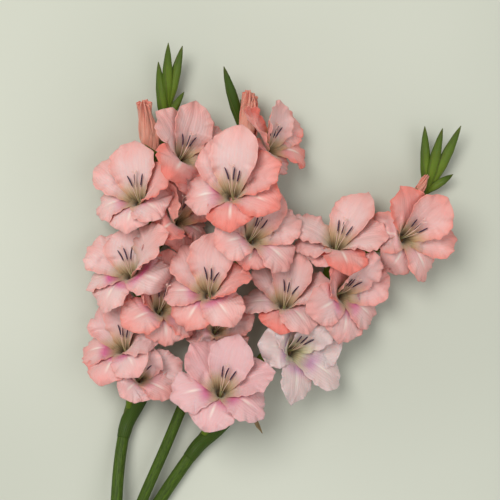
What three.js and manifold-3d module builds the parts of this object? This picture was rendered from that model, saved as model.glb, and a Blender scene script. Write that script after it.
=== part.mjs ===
// Cut gladioli: three flowering spikes that lie together, face up, on a flat surface.
// Each spike is a stem with its green bracts, two rows of open florets up the front, and closed buds at the tip.
// A floret is a curved tube that opens into six tepals, with a style and three stamens inside.
// Millimetres and degrees. +Z is up from the surface, and the spikes point along +Y.
import * as THREE from "three";
import Module from "manifold-3d";

const wasm = await Module();
wasm.setup();

// Driving dimensions.
const bloom = 100; // width of an open floret of size 1; the spikes are laid out in proportion to it
const gap = 0.35; // between pieces that touch
const rest = 0.4; // how near to the surface a tepal comes
const rodSides = 4; // of a style or a filament
const tepalWall = 0.9;
const bractWall = 1.1;
const stemSides = 10;
const stemStep = 32; // length of stem between two rings
const tipRadius = 2.6; // of a stem where its last bud sits
const layout = bloom / 100;

// The floret, for size 1.
const tube = { length: 46, footRadius: 3.1, throatRadius: 6.2, lean: 26, foot: 0.12, floor: 0.5 };
const columns = 3; // of points across a tepal
const shoulder = 0.88; // how far a tepal's two edges reach, as a share of its middle
const waist = 0.45; // where along a tepal its middle ring lies
const bell = 14; // how far a tepal leans out where it leaves the throat
// Clockwise from the hood, looking into the flower: length, and how far the tip leans out from the axis.
const tepals = [
  { length: 70, flare: 44 },
  { length: 62, flare: 66 },
  { length: 57, flare: 94 },
  { length: 57, flare: 108 },
  { length: 57, flare: 94 },
  { length: 62, flare: 66 },
];
const around = tepals.length * columns;

// What stands in the throat, for size 1.
const column = { radius: 1.9, parting: 0.5, overlap: 2.5 };
const style = { length: 36, radius: 0.75, bend: 42, spread: 17 };
const stamen = { length: 31, radius: 0.6, anther: 1.25, antherLength: 13, bend: 34, spread: 34 };

// The two bracts that clasp a tube, joined at their foot: how far up the tube each one's point and their sides come.
const bract = {
  sides: 10,
  heel: 2.6, // half the width of their joined foot
  floor: 0.09,
  shoulder: 0.2,
  clearance: 0.9,
  belly: 2.4,
  outer: 0.9,
  inner: 0.66,
  flank: 0.42,
};

// Closed buds: half width and half thickness at the fattest place.
const pinkBud = { sides: 10, length: 70, width: 9, thickness: 7.5 };
const greenBud = { sides: 8, length: 78, width: 8, thickness: 4.4 };
// Along a bud: the share of its length, and the share of its fattest place.
const pinkOutline = [
  [0, 0.35],
  [0.2, 0.8],
  [0.5, 1],
  [0.8, 0.66],
  [1, 0.45],
];
const greenOutline = [
  [0, 0.4],
  [0.3, 1],
  [0.68, 0.86],
  [0.9, 0.4],
  [1, 0.08],
];

// The spikes. A route runs from the cut end to the tip. Florets are placed by the distance below the tip where they
// leave the stem, the side of the stem (0 faces up, positive is right), and how far they turn away from the stem.
// stalk, where given, makes a tube longer, and turn swings the face round the stem from the side it leaves on.
// roll turns the floret on its own axis, clockwise looking into it.
const spikes = {
  left: {
    radius: 6.8,
    route: [
      [-137, -600, 7.4],
      [-147, -480, 18],
      [-151.5, -368, 35.6],
      [-152.3, -287, 27],
      [-147, -222, 13],
      [-136, -176, 7.4],
      [-126.5, -138, 7],
      [-119.6, -92, 6.6],
      [-116.2, -46, 6.4],
      [-112.7, 0, 6.5],
      [-108.1, 46, 8],
      [-103.5, 92, 10],
      [-97.8, 132, 13],
      [-92, 167, 17],
    ],
    florets: [
      { below: 354, side: -12, pitch: 62, size: 0.78, stalk: 1.4, turn: 30 },
      { below: 322, side: -34, pitch: 52, size: 0.95 },
      { below: 271, side: 22, pitch: 52, size: 0.96 },
      { below: 236, side: -30, pitch: 50, size: 1, roll: -14 },
      { below: 169, side: 41, pitch: 52, size: 0.95 },
      { below: 152, side: -29, pitch: 48, size: 1, roll: -10 },
      { below: 99, side: 39, pitch: 52, size: 0.98, roll: 12 },
    ],
    pink: { below: 74, side: -50, pitch: 21, size: 1.14 },
    green: [
      { below: 34, side: -75, pitch: 13, size: 1.05 },
      { below: 4, side: -50, pitch: 11, size: 0.95 },
      { below: 6, side: 70, pitch: 2, size: 0.95 },
      { below: 24, side: 75, pitch: 18, size: 0.55 },
    ],
  },
  middle: {
    radius: 6.2,
    route: [
      [-232, -588, 6.7],
      [-193, -480, 12.8],
      [-158, -382, 21.5],
      [-123.6, -287, 20],
      [-101.2, -236, 18],
      [-77.1, -178, 17],
      [-61, -138, 17],
      [-46, -98, 18],
      [-32, -57, 20],
      [-22, -17, 22],
      [-14, 23, 24],
      [-9.5, 63, 25],
      [-8.5, 103, 25],
      [-11.5, 145, 26],
    ],
    florets: [
      { below: 264, side: 8, pitch: 54, size: 0.72 },
      { below: 236, side: -24, pitch: 54, size: 0.98 },
      { below: 163, side: 26, pitch: 52, size: 0.94, roll: 10 },
      { below: 124, side: -17, pitch: 50, size: 1.04, roll: 3 },
      { below: 65, side: 50, pitch: 54, size: 0.92 },
    ],
    pink: { below: 44, side: 50, pitch: 4, size: 1.16 },
    green: [{ below: 24, side: -50, pitch: 10, size: 1.15 }],
  },
  right: {
    radius: 7.2,
    route: [
      [-262, -574, 7.6],
      [-209, -470, 7.6],
      [-155, -372, 7.6],
      [-102.8, -287, 7.6],
      [-69.2, -238, 7.6],
      [-46, -207, 7.6],
      [-17.3, -167, 7.4],
      [13.8, -126, 7.2],
      [46, -86, 7],
      [76, -52, 7],
      [112, -20, 7],
      [153, 11, 8],
      [180, 46, 10],
      [203, 84, 13],
    ],
    florets: [
      { below: 393, side: -19, pitch: 54, size: 1, stalk: 1.5, roll: -23 },
      { below: 288, side: 26, pitch: 62, size: 0.95, roll: -12 },
      { below: 255, side: -32, pitch: 52, size: 0.92, roll: -24 },
      { below: 203, side: 27, pitch: 58, size: 0.94, roll: -28 },
      { below: 173, side: -40, pitch: 52, size: 1, roll: -26 },
      { below: 105, side: 13, pitch: 54, size: 0.96, roll: -16 },
    ],
    pink: { below: 40, side: -10, pitch: 12, size: 0.62 },
    green: [
      { below: 30, side: -80, pitch: 22, size: 1.08 },
      { below: 16, side: -50, pitch: 12, size: 0.95 },
      { below: 4, side: 30, pitch: 4, size: 0.95 },
      { below: 44, side: 80, pitch: 17, size: 0.85 },
    ],
  },
};

const colours = {
  stem: { color: 0x476e24, roughness: 0.55, metalness: 0 },
  perianth: { color: 0xf2a8a0, roughness: 0.6, metalness: 0 },
  stamens: { color: 0x4a2338, roughness: 0.5, metalness: 0 },
  bracts: { color: 0x4f7a28, roughness: 0.55, metalness: 0 },
  pinkBud: { color: 0xe9796a, roughness: 0.6, metalness: 0 },
};

const up = new THREE.Vector3(0, 0, 1);
const rad = THREE.MathUtils.degToRad;
const lerp = THREE.MathUtils.lerp;
const mix = (a, wa, b, wb) => a.clone().multiplyScalar(wa).addScaledVector(b, wb);
const centreOf = (ring) => ring.reduce((sum, p) => sum.add(p), new THREE.Vector3()).divideScalar(ring.length);

// A frame that looks along n, with d as near to wanted as it can be, and e to the right of d.
function frameAlong(n, wanted) {
  const d = wanted.clone().addScaledVector(n, -wanted.dot(n)).normalize();
  return { n, d, e: d.clone().cross(n) };
}

// The way out from a frame's middle at an angle clockwise from its d, looking back along n.
const spoke = (frame, angle) => mix(frame.d, Math.cos(angle), frame.e, Math.sin(angle));

// A ring of points that starts at d and runs anticlockwise, with point(angle, side) giving each of them.
function ringOf(sides, point) {
  return Array.from({ length: sides }, (_, side) => point((-2 * Math.PI * side) / sides, side));
}

// An oval ring: half widths a along frame.e and b along frame.d.
function oval(centre, frame, a, b, sides) {
  return ringOf(sides, (angle) =>
    centre
      .clone()
      .addScaledVector(frame.d, b * Math.cos(angle))
      .addScaledVector(frame.e, a * Math.sin(angle)),
  );
}

// A closed solid through rings of points that run anticlockwise, looking back from its end, with a fan on either end.
function loft(rings) {
  const sides = rings[0].length;
  const points = [centreOf(rings[0]), ...rings.flat(), centreOf(rings.at(-1))];
  const last = points.length - 1;
  const at = (ring, side) => 1 + ring * sides + (side % sides);
  const index = [];
  for (let side = 0; side < sides; side += 1) {
    index.push(0, at(0, side + 1), at(0, side));
    index.push(last, at(rings.length - 1, side), at(rings.length - 1, side + 1));
    for (let ring = 0; ring + 1 < rings.length; ring += 1) {
      index.push(at(ring, side), at(ring, side + 1), at(ring + 1, side + 1));
      index.push(at(ring, side), at(ring + 1, side + 1), at(ring + 1, side));
    }
  }
  const vertProperties = new Float32Array(points.flatMap((p) => p.toArray()));
  const triVerts = new Uint32Array(index);
  return new wasm.Manifold(new wasm.Mesh({ numProp: 3, vertProperties, triVerts }));
}

const joined = (solids) => solids.reduce((sum, solid) => sum.add(solid));

// A spike's stem as a curve, with its frame and its radius at any distance below the tip.
function stemOf(spike) {
  const curve = new THREE.CatmullRomCurve3(
    spike.route.map(([x, y, z]) => new THREE.Vector3(x * layout, y * layout, z)),
  );
  curve.arcLengthDivisions = 600;
  const length = curve.getLength();
  const lowest = spike.florets[0].below * layout;
  return {
    length,
    at(below) {
      const share = 1 - below / length;
      const centre = curve.getPointAt(share);
      const frame = frameAlong(curve.getTangentAt(share), up);
      const taper = Math.min(1, below / lowest);
      return { centre, frame, radius: lerp(tipRadius, spike.radius, taper ** 0.7) };
    },
  };
}

function stemSolid(stem, grow) {
  const steps = Math.round(stem.length / stemStep);
  return loft(
    Array.from({ length: steps + 1 }, (_, step) => {
      const { centre, frame, radius } = stem.at(stem.length * (1 - step / steps));
      return oval(centre, frame, radius + grow, radius + grow, stemSides);
    }),
  );
}

// Where a floret or bud leaves its stem, and the way out from the stem's middle there.
function leavingPoint(stem, { below, side }) {
  const { centre, frame, radius } = stem.at(below * layout);
  return { centre, frame, radius, out: spoke(frame, rad(-side)) };
}

// A floret's tube: a curve from its foot on the stem to its throat, with the frame and radius on the way.
function tubeOf(stem, floret) {
  const { centre, frame, radius, out } = leavingPoint(stem, floret);
  const size = floret.size * layout;
  const front = spoke(frame, rad(-floret.side - (floret.turn ?? 0)));
  const leave = mix(frame.n, Math.cos(rad(tube.lean)), out, Math.sin(rad(tube.lean)));
  const face = mix(frame.n, Math.cos(rad(floret.pitch)), front, Math.sin(rad(floret.pitch)));
  const length = tube.length * (floret.stalk ?? 1) * size;
  const foot = centre.clone().addScaledVector(out, radius + gap + bract.heel * size);
  const throat = foot.clone().addScaledVector(mix(leave, 1, face, 1).normalize(), length);
  const curve = new THREE.CubicBezierCurve3(
    foot,
    foot.clone().addScaledVector(leave, length * 0.4),
    throat.clone().addScaledVector(face, -length * 0.4),
    throat,
  );
  const along = frame.n;
  return {
    size,
    length,
    at(share) {
      const radiusHere = lerp(tube.footRadius, tube.throatRadius, share ** 1.6) * size;
      const straight = frameAlong(curve.getTangent(share), along);
      const rolled = frameAlong(straight.n, spoke(straight, rad(floret.roll ?? 0)));
      return { centre: curve.getPoint(share), frame: rolled, radius: radiusHere };
    },
  };
}

// How far out from the throat's edge and forward a tepal has come at a share of its length, and how far it leans.
function profile(length, flare, share) {
  const steps = 10;
  const leanAt = (place) => rad(bell + (flare - bell) * (1 - (1 - place) ** 2));
  let out = 0;
  let forward = 0;
  for (let step = 0; step < steps; step += 1) {
    const lean = leanAt((share * (step + 0.5)) / steps);
    out += (Math.sin(lean) * length * share) / steps;
    forward += (Math.cos(lean) * length * share) / steps;
  }
  return { out, forward, lean: leanAt(share) };
}

// A point of a tepal's outer face, or in from it by depth, at a share of its length and an angle round the throat.
function tepalPoint(throat, angle, length, flare, share, depth) {
  const { out, forward, lean } = profile(length, flare, share);
  return throat.centre
    .clone()
    .addScaledVector(spoke(throat.frame, angle), throat.radius + out - depth * Math.cos(lean))
    .addScaledVector(throat.frame.n, forward + depth * Math.sin(lean));
}

// Each tepal's length and flare on one floret. One that would pass through the surface opens only as far as it can.
function tepalsOf(tubeHere) {
  const throat = tubeHere.at(1);
  return tepals.map((tepal, which) => {
    const length = tepal.length * tubeHere.size;
    const angle = (2 * Math.PI * which) / tepals.length;
    const lowest = (flare) =>
      Math.min(
        ...[-0.9, 0, 0.9].map((turn) => {
          const reach = turn === 0 ? length : length * shoulder;
          return tepalPoint(throat, angle + turn * (Math.PI / around) * 2, reach, flare, 1, 0).z;
        }),
      );
    let flare = tepal.flare;
    while (flare > bell && lowest(flare) < rest) flare -= 1;
    return { length, flare };
  });
}

// The perianth: up the outside of the tube and the tepals, over their rim, and down the inside to the tube's floor.
function perianthSolid(tubeHere, grow) {
  const throat = tubeHere.at(1);
  const grown = tepalsOf(tubeHere);
  const tubeRing = (share, inset) => {
    const { centre, frame, radius } = tubeHere.at(share);
    return oval(centre, frame, radius - inset, radius - inset, around);
  };
  const tepalRing = (share, depth) =>
    ringOf(around, (angle, side) => {
      const turn = around - side;
      const { length, flare } = grown[Math.round(turn / columns) % tepals.length];
      const reach = turn % columns === 0 ? length : length * shoulder;
      return tepalPoint(throat, angle, reach + grow, flare, share, depth);
    });
  const under = grow / tubeHere.length;
  return loft([
    tubeRing(tube.foot - under, -grow),
    tubeRing(tube.floor, -grow),
    tubeRing(1, -grow),
    tepalRing(waist, -grow),
    tepalRing(1, -grow),
    tepalRing(1, tepalWall + grow),
    tepalRing(waist, tepalWall + grow),
    tubeRing(1, tepalWall + grow),
    tubeRing(tube.floor - under, tepalWall + grow),
  ]);
}

// The style and three stamens: one column up the tube, which parts into four rods at the throat.
function stamensSolid(tubeHere, grow) {
  const root = tubeHere.at(tube.floor + gap / tubeHere.length);
  const { centre, frame } = tubeHere.at(1);
  const ringAt = (place, normal, radius) =>
    oval(place, frameAlong(normal, frame.d), radius + grow, radius + grow, rodSides);
  const rod = (length, bend, spread, stages) => {
    const arch = spoke(frame, rad(spread));
    const start = centre.clone().addScaledVector(frame.n, -column.overlap).addScaledVector(arch, column.parting);
    const rings = stages.map(([share, radius]) => {
      const lean = rad(bend * share);
      const place = centre
        .clone()
        .addScaledVector(frame.n, length * share * Math.cos(lean * 0.6) * tubeHere.size)
        .addScaledVector(arch, column.parting + length * share * Math.sin(lean * 0.6) * tubeHere.size);
      return ringAt(place, mix(frame.n, Math.cos(lean), arch, Math.sin(lean)), radius);
    });
    return loft([ringAt(start, frame.n, stages[0][1]), ...rings]);
  };
  const neck = 1 - stamen.antherLength / stamen.length;
  const filament = [
    [neck, stamen.radius],
    [neck + 0.06, stamen.anther],
    [1, stamen.anther * 0.8],
  ];
  return joined([
    loft([ringAt(root.centre, root.frame.n, column.radius), ringAt(centre, frame.n, column.radius)]),
    rod(stamen.length, stamen.bend, 0, filament),
    rod(stamen.length, stamen.bend, -stamen.spread, filament),
    rod(stamen.length, stamen.bend, stamen.spread, filament),
    rod(style.length, style.bend, style.spread, [
      [0.5, style.radius],
      [1, style.radius],
    ]),
  ]);
}

// The two bracts round the foot of a tube: a cup whose rim rises to a point on the outer and on the inner side.
// Outer is away from the stem, and inner is the side that faces the spike's tip.
function bractsSolid(tubeHere, grow) {
  const cupPoint = (share, angle, inset) => {
    const { centre, frame, radius } = tubeHere.at(share);
    const belly = bract.belly * Math.sin(Math.PI * Math.min(1, share / bract.outer));
    const wide = radius + (gap + bract.clearance + belly) * tubeHere.size + bractWall - inset;
    return centre.clone().addScaledVector(spoke(frame, angle), wide);
  };
  const ring = (level, inset) =>
    ringOf(bract.sides, (angle) => {
      const across = Math.cos(angle);
      const point = across < 0 ? bract.outer : bract.inner;
      const top = lerp(bract.flank, point, across ** 2) + grow / tubeHere.length;
      return cupPoint(lerp(bract.shoulder, top, level), angle, inset);
    });
  const low = (share, radius) => {
    const { centre, frame } = tubeHere.at(share);
    return oval(centre, frame, radius, radius, bract.sides);
  };
  return loft([
    low(0, bract.heel * tubeHere.size + grow),
    ring(0, -grow),
    ring(0.5, -grow),
    ring(1, -grow),
    ring(1, bractWall + grow),
    ring(0.5, bractWall + grow),
    low(bract.floor - grow / tubeHere.length, tubeHere.at(bract.floor).radius + gap + grow),
  ]);
}

// A bud that leaves the stem on one side: half width and half thickness as a share of the fattest place's, on the way.
function budSolid(stem, place, shape, outline, sunk, grow) {
  const { centre, frame, radius, out } = leavingPoint(stem, place);
  const way = mix(frame.n, Math.cos(rad(place.pitch)), out, Math.sin(rad(place.pitch)));
  const length = shape.length * place.size * layout;
  const foot = centre.clone().addScaledVector(out, sunk ? radius / 2 : radius + shape.thickness / 2);
  return loft(
    outline.map(([share, fat]) => {
      const here = foot.clone().addScaledVector(way, share * (length + grow));
      const wide = shape.width * fat + grow;
      return oval(here, frameAlong(way, out), wide, shape.thickness * fat + grow, shape.sides);
    }),
  );
}

// The pieces, each as a function that makes its solid, larger all over by grow. Each piece is cut clear of those
// before it in the list, so the firm ones come first, and then the florets from the highest down.
const pieces = Object.entries(spikes).flatMap(([spikeName, spike]) => {
  const stem = stemOf(spike);
  const tubes = spike.florets.map((floret) => tubeOf(stem, floret));
  const numbered = (order, word, material, make) =>
    tubes.map((tubeHere, number) => ({
      order,
      height: tubeHere.at(1).centre.z,
      name: `${spikeName}_${word}_${number + 1}`,
      material,
      make: (grow) => make(tubeHere, grow),
    }));
  const green = (grow) => spike.green.map((bud) => budSolid(stem, bud, greenBud, greenOutline, true, grow));
  const pink = (grow) => budSolid(stem, spike.pink, pinkBud, pinkOutline, false, grow);
  return [
    {
      order: 0,
      height: 0,
      name: `${spikeName}_stem`,
      material: "stem",
      make: (grow) => joined([stemSolid(stem, grow), ...green(grow)]),
    },
    ...numbered(1, "stamens", "stamens", stamensSolid),
    ...numbered(2, "bracts", "bracts", bractsSolid),
    { order: 3, height: 0, name: `${spikeName}_pink_bud`, material: "pinkBud", make: pink },
    ...numbered(4, "floret", "perianth", perianthSolid),
  ];
});
pieces.sort((a, b) => a.order - b.order || b.height - a.height);

const largest = (solid) => solid.decompose().sort((a, b) => b.volume() - a.volume())[0];

const placed = [];
for (const piece of pieces) {
  let solid = piece.make(0);
  for (const earlier of placed) {
    if (solid.intersect(earlier.grown).volume() > 0) solid = solid.subtract(earlier.grown);
  }
  placed.push({ ...piece, solid: largest(solid), grown: piece.make(gap) });
}

const group = new THREE.Group();
for (const { name, material, solid } of placed) {
  const mesh = solid.getMesh();
  const geometry = new THREE.BufferGeometry();
  geometry.setAttribute("position", new THREE.BufferAttribute(mesh.vertProperties, 3));
  geometry.setIndex(new THREE.BufferAttribute(mesh.triVerts, 1));
  geometry.computeVertexNormals();
  const piece = new THREE.Mesh(geometry, new THREE.MeshStandardMaterial(colours[material]));
  piece.name = name;
  group.add(piece);
}

// The origin is under the middle of the bunch, on the surface it lies on.
const box = new THREE.Box3().setFromObject(group, true);
const middle = box.getCenter(new THREE.Vector3());
group.position.set(-middle.x, -middle.y, -box.min.z);

export default group;
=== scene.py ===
import math

import bpy
import numpy as np
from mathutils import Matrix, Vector


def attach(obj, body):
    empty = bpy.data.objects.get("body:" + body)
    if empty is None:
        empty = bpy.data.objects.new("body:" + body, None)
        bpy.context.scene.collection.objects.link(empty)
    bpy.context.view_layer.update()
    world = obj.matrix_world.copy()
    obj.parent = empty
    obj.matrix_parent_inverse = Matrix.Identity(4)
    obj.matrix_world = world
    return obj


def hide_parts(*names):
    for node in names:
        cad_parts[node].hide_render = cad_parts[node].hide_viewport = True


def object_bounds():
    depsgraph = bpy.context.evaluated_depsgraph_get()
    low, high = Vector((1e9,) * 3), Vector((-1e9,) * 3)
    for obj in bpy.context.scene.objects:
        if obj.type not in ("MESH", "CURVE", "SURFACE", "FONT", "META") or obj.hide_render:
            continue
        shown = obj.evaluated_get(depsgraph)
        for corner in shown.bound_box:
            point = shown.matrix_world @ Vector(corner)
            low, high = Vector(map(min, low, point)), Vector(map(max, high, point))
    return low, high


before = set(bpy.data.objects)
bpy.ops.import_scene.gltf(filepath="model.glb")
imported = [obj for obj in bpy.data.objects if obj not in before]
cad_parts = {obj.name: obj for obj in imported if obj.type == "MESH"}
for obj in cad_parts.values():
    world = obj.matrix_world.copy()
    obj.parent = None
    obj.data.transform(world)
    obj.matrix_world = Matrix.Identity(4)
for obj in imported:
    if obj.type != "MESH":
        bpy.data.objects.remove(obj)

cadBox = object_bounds()
mm = 0.001
up = np.array([0.0, 0.0, 1.0])
offFloor = 0.9 * mm  # leaves and buds bend up to stay this far off the surface
print("frame loaded:", len(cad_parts), "nodes")


def unit(v):
    v = np.asarray(v, float)
    return v / np.linalg.norm(v, axis=-1, keepdims=True)


def smooth(low, high, value):
    t = np.clip((value - low) / (high - low), 0, 1)
    return t * t * (3 - 2 * t)


def mixed(a, b, t):
    return a * (1 - t) + b * t


# A smooth line of count points through the given ones
def smoothLine(points, count):
    points = np.asarray(points, float)
    pull = np.gradient(points, axis=0)
    place = np.linspace(0, len(points) - 1, count)
    i = np.minimum(place.astype(int), len(points) - 2)
    t = (place - i)[:, None]
    start = points[i] * (2 * t ** 3 - 3 * t ** 2 + 1) + pull[i] * (t ** 3 - 2 * t ** 2 + t)
    return start + points[i + 1] * (3 * t ** 2 - 2 * t ** 3) + pull[i + 1] * (t ** 3 - t ** 2)


def nodePoints(name):
    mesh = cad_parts[name].data
    flat = np.empty(len(mesh.vertices) * 3)
    mesh.vertices.foreach_get("co", flat)
    return np.unique(np.round(flat.reshape(-1, 3), 6), axis=0)


def near(points, place, reach):
    return points[np.linalg.norm(points - place, axis=1) < reach * mm]


# The points of a line read at some places, given where the known ones lie
def pointsAt(places, known, line):
    return np.stack([np.interp(places, known, line[:, k]) for k in range(3)], 1)


# A direction turned from one square direction towards another
def turned(first, second, degrees):
    return first * math.cos(math.radians(degrees)) + second * math.sin(math.radians(degrees))


# How far the corners of a node's rings lie from their middles, and what parts one ring from the next, in mm
nodeRings = {
    "foot": 5.6,
    "tube": 4.3,
    "mouth": 6,  # from the middle of the tube at least this far
    "mouth depth": 2,
    "thread": 1.5,
    "tip": 2,
    "hood turn": 17,  # degrees from the stamens' arch to the hood
    "arch": 36,  # how far a floret of size 1 holds its stamens out
    "arch start": 0.2,
    "cut": 15.5,
    "first step": (15, 45),
    "first reach": 60,
    "corners": (9, 11),  # of a stem's ring: ten, or one more or fewer where a sheath joins it
    "stem step": (20, 44),
    "stem reach": 13,
    "stem depth": 4.5,
    "sheath tip": 1.4,
    "sheath gap": 3.8,
    "sheath crowd": 8,  # points at one tip
    "sheath apart": 4,
    "sheath top": 180,  # tips lie within this reach of the stem's end
}


# A floret's foot, the middle and mouth of its tube, the way it faces, the way to its hood and its size
def measureFloret(spike, number):
    rings = nodeRings
    inner = nodePoints(f"{spike}_stamens_{number}")
    outer = nodePoints(f"{spike}_bracts_{number}")
    far = outer[np.argmax(np.linalg.norm(outer - inner.mean(0), axis=1))]
    foot = near(outer, far, rings["foot"]).mean(0)
    root = inner[np.argmin(np.linalg.norm(inner - foot, axis=1))]
    middle = near(inner, root, rings["tube"]).mean(0)
    away = np.linalg.norm(inner - middle, axis=1)
    first = away[away > rings["mouth"] * mm].min()
    cap = inner[(away > rings["mouth"] * mm) & (away < first + rings["mouth depth"] * mm)]
    corners = cap[np.linalg.norm(cap - cap.mean(0), axis=1) > rings["thread"] * mm]
    mouth = corners.mean(0)
    axis = np.linalg.svd(corners - mouth)[2][2]
    axis = axis * np.sign(np.dot(axis, mouth - middle))
    tip = inner[np.argmax(np.linalg.norm(inner - mouth, axis=1))]
    tip = near(inner, tip, rings["tip"]).mean(0)
    arch = unit((tip - mouth) - axis * np.dot(tip - mouth, axis))
    hood = unit(turned(arch, np.cross(axis, arch), rings["hood turn"]))
    size = (np.linalg.norm(tip - mouth) / mm - rings["arch start"]) / rings["arch"]
    return {"foot": foot, "middle": middle, "mouth": mouth, "axis": axis, "hood": hood, "size": size}


# A stem's middle line and radius, ring by ring from the cut end, and the tips of its green sheaths
def measureStem(name):
    rings = nodeRings
    points = nodePoints(name)
    start = near(points, points[np.argmin(points[:, 1])], rings["cut"])
    line, radii = [start.mean(0)], [np.linalg.norm(start - start.mean(0), axis=1).max()]
    closest, furthest = rings["first step"]
    ahead = points[(points[:, 1] > line[0][1] + closest * mm) & (points[:, 1] < line[0][1] + furthest * mm)]
    way = unit(near(ahead, line[0], rings["first reach"]).mean(0) - line[0])
    closest, furthest = rings["stem step"]
    fewest, most = rings["corners"]
    while True:
        along = (points - line[-1]) @ way
        side = np.linalg.norm(points - line[-1] - along[:, None] * way, axis=1)
        ring = points[(along > closest * mm) & (along < furthest * mm) & (side < rings["stem reach"] * mm)]
        if len(ring) < fewest:
            break
        reach = (ring - line[-1]) @ way
        ring = ring[reach < reach.min() + rings["stem depth"] * mm]
        centre = ring.mean(0)
        radius = np.linalg.norm(ring - centre, axis=1).max()
        if not fewest <= len(ring) <= most or radius > radii[-1] * 1.25:
            break
        way = unit(centre - line[-1])
        line.append(centre)
        radii.append(radius)
    tips = []
    for point in near(points, line[-1], rings["sheath top"]):
        crowd = near(points, point, rings["sheath tip"])
        alone = len(near(points, point, rings["sheath gap"])) == len(crowd)
        fresh = all(np.linalg.norm(crowd.mean(0) - tip) > rings["sheath apart"] * mm for tip in tips)
        if len(crowd) >= rings["sheath crowd"] and alone and fresh:
            tips.append(crowd.mean(0))
    return {"line": np.array(line), "radii": np.array(radii), "way": way, "tips": sorted(tips, key=lambda t: t[0])}


spikeNames = ["left", "middle", "right"]
floretCounts = {s: sum(n.startswith(f"{s}_floret_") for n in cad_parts) for s in spikeNames}
florets = {f"{s}{k}": measureFloret(s, k) for s in spikeNames for k in range(1, floretCounts[s] + 1)}
stems = {s: measureStem(f"{s}_stem") for s in spikeNames}
print("measured", len(florets), "florets and", sum(len(s["tips"]) for s in stems.values()), "sheath tips")


def addObject(name, data):
    made = bpy.data.objects.new(name, data)
    bpy.context.scene.collection.objects.link(made)
    return made


# Named values on a mesh's points, for its material to read
def storeValues(mesh, values):
    for key, numbers in values.items():
        mesh.attributes.new(key, "FLOAT", "POINT").data.foreach_set("value", np.asarray(numbers, np.float32))


def meshObject(name, points, faces, values=None):
    mesh = bpy.data.meshes.new(name)
    mesh.from_pydata(np.asarray(points).tolist(), [], faces)
    mesh.polygons.foreach_set("use_smooth", [True] * len(mesh.polygons))
    storeValues(mesh, values or {})
    mesh.update()
    return addObject(name, mesh)


# Normals of a sheet of points, rows by columns by 3, on the side where rows x columns points
def sheetNormals(sheet):
    alongRows = np.gradient(sheet, axis=0)
    alongColumns = np.gradient(sheet, axis=1)
    return unit(np.cross(alongRows, alongColumns) + 1e-12)


# A sheet given a wall: the front on its normals' side, the back behind it, and a rim all round
def shellOf(sheet, wall):
    rows, columns = sheet.shape[:2]
    wall, normals = np.broadcast_to(wall, (rows, columns)), sheetNormals(sheet)
    front = sheet + normals * wall[..., None] / 2
    back = sheet - normals * wall[..., None] / 2
    points = np.concatenate([front.reshape(-1, 3), back.reshape(-1, 3)])
    half = rows * columns
    index = np.arange(half).reshape(rows, columns)
    quads = np.stack([index[:-1, :-1], index[1:, :-1], index[1:, 1:], index[:-1, 1:]], -1).reshape(-1, 4)
    edge = np.concatenate([index[0], index[1:, -1], index[-1, -2::-1], index[-2:0:-1, 0]])
    rim = np.stack([edge, np.roll(edge, -1), np.roll(edge, -1) + half, edge + half], -1)
    faces = np.concatenate([quads, quads[:, ::-1] + half, rim])
    return points, faces


# Points, faces and values of a sheet that has been given its wall
def sheetPart(sheet, u, v, wall, **same):
    points, faces = shellOf(sheet, wall)
    values = {"across": np.tile(u.ravel(), 2), "along": np.tile(v.ravel(), 2), "back": np.repeat([1.0, 0.0], u.size)}
    return points, faces, {**values, **{key: np.full(u.size * 2, float(number)) for key, number in same.items()}}


def aboveFloor(sheet):
    sheet[..., 2] = np.maximum(sheet[..., 2], offFloor)
    return sheet


# Faces of rings of points, each joined to the next, and the ends closed by fans round two more points
def closedTube(rings, sides):
    index = np.arange(rings * sides).reshape(rings, sides)
    around = np.roll(index, -1, axis=1)
    faces = np.stack([index[:-1], around[:-1], around[1:], index[1:]], -1).reshape(-1, 4).tolist()
    faces += [[int(around[0][k]), int(index[0][k]), rings * sides] for k in range(sides)]
    faces += [[int(index[-1][k]), int(around[-1][k]), rings * sides + 1] for k in range(sides)]
    return faces


# Several (points, faces, values) as one
def merged(parts):
    points, faces, values, start = [], [], {}, 0
    for partPoints, partFaces, partValues in parts:
        points.append(partPoints)
        faces += [[int(corner) + start for corner in face] for face in partFaces]
        start += len(partPoints)
        for key, numbers in partValues.items():
            values.setdefault(key, []).append(numbers)
    return np.concatenate(points), faces, {key: np.concatenate(v) for key, v in values.items()}


# Lengths in mm for a floret of size 1, angles in degrees
petals = {
    "rows": 46,
    "columns": 29,
    "wall": 0.75,  # at the middle of a tepal, whatever the floret's size
    "edge wall": 0.3,
    "throat": 5.3,  # a tepal starts this far from the tube's line and this deep in its mouth
    "throat depth": 3,
    "throat lean": 14,
    "widest": 0.6,  # share of the length
    "base width": 0.3,  # share of the greatest width
    "point": (1.06, 0.95),  # outer and inner tepals; less is rounder
    "frill": 0.03,  # share of the width
    "waves": [(0.4, 5.6, 7.4), (0.36, 10, 13), (0.22, 19, 24)],  # heights, fewest and most round a tepal
    "midrib": 0.9,
    "pleats": 0.16,
    "inner lift": 0.8,
    "off floor": 1.2,  # how far a tepal keeps off the surface, a stem and its neighbours, whatever the floret's size
    "off stem": 1.5,
    "apart": 1.6,
    "most apart": 6,  # tepals of one floret part no further
    "tube rows": 26,
    "tube columns": 28,
    "tube foot": 2.6,
    "tube widening": 3.6,
    "tube wall": 0.7,
    "tube start": 0.1,  # share of its line
    "tube bottom": 0.16,
}

# How far each tepal may stray from its shape: in degrees, mm, and shares of its width and length
strays = {"flare": 7, "curl": 10, "twist": 18, "sway": 4, "width": 0.07, "length": 0.04}

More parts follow.
